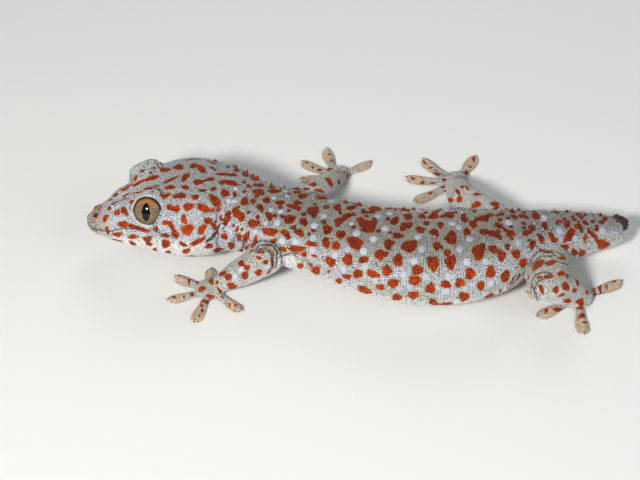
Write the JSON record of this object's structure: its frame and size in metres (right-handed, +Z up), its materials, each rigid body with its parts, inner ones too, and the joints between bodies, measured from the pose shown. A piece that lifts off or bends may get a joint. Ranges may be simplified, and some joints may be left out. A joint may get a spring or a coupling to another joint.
{
  "type": "tokay gecko",
  "caption": "Life-size still model of a large spotted gecko with a regrowing tail stump, walking flat on its toe pads.",
  "frame": {"origin": "on the floor, under the middle of the gecko's bounding box", "axes": "+Z up from the floor; the head points along -X; the animal's left side faces -Y"},
  "size_m": [0.1857, 0.0984, 0.0306],
  "materials": {
    "skin": "satin granular skin",
    "pads": "satin toe pads",
    "bud": "satin dark new tissue",
    "eye": "wet gloss"
  },
  "bodies": {
    "root": {"eye_left": "eye", "eye_right": "eye", "foot_left": "skin", "foot_left_toe_1": "pads", "foot_left_toe_2": "pads", "foot_left_toe_3": "pads", "foot_left_toe_4": "pads", "foot_left_toe_5": "pads", "foot_right": "skin", "foot_right_toe_1": "pads", "foot_right_toe_2": "pads", "foot_right_toe_3": "pads", "foot_right_toe_4": "pads", "foot_right_toe_5": "pads", "forearm_left": "skin", "forearm_right": "skin", "hand_left": "skin", "hand_left_toe_1": "pads", "hand_left_toe_2": "pads", "hand_left_toe_3": "pads", "hand_left_toe_4": "pads", "hand_left_toe_5": "pads", "hand_right": "skin", "hand_right_toe_1": "pads", "hand_right_toe_2": "pads", "hand_right_toe_3": "pads", "hand_right_toe_4": "pads", "hand_right_toe_5": "pads", "head": "skin", "lower_jaw": "skin", "neck": "skin", "shank_left": "skin", "shank_right": "skin", "tail_bud": "bud", "tail_stump": "skin", "thigh_left": "skin", "thigh_right": "skin", "torso": "skin", "upper_arm_left": "skin", "upper_arm_right": "skin"}
  },
  "joints": []
}
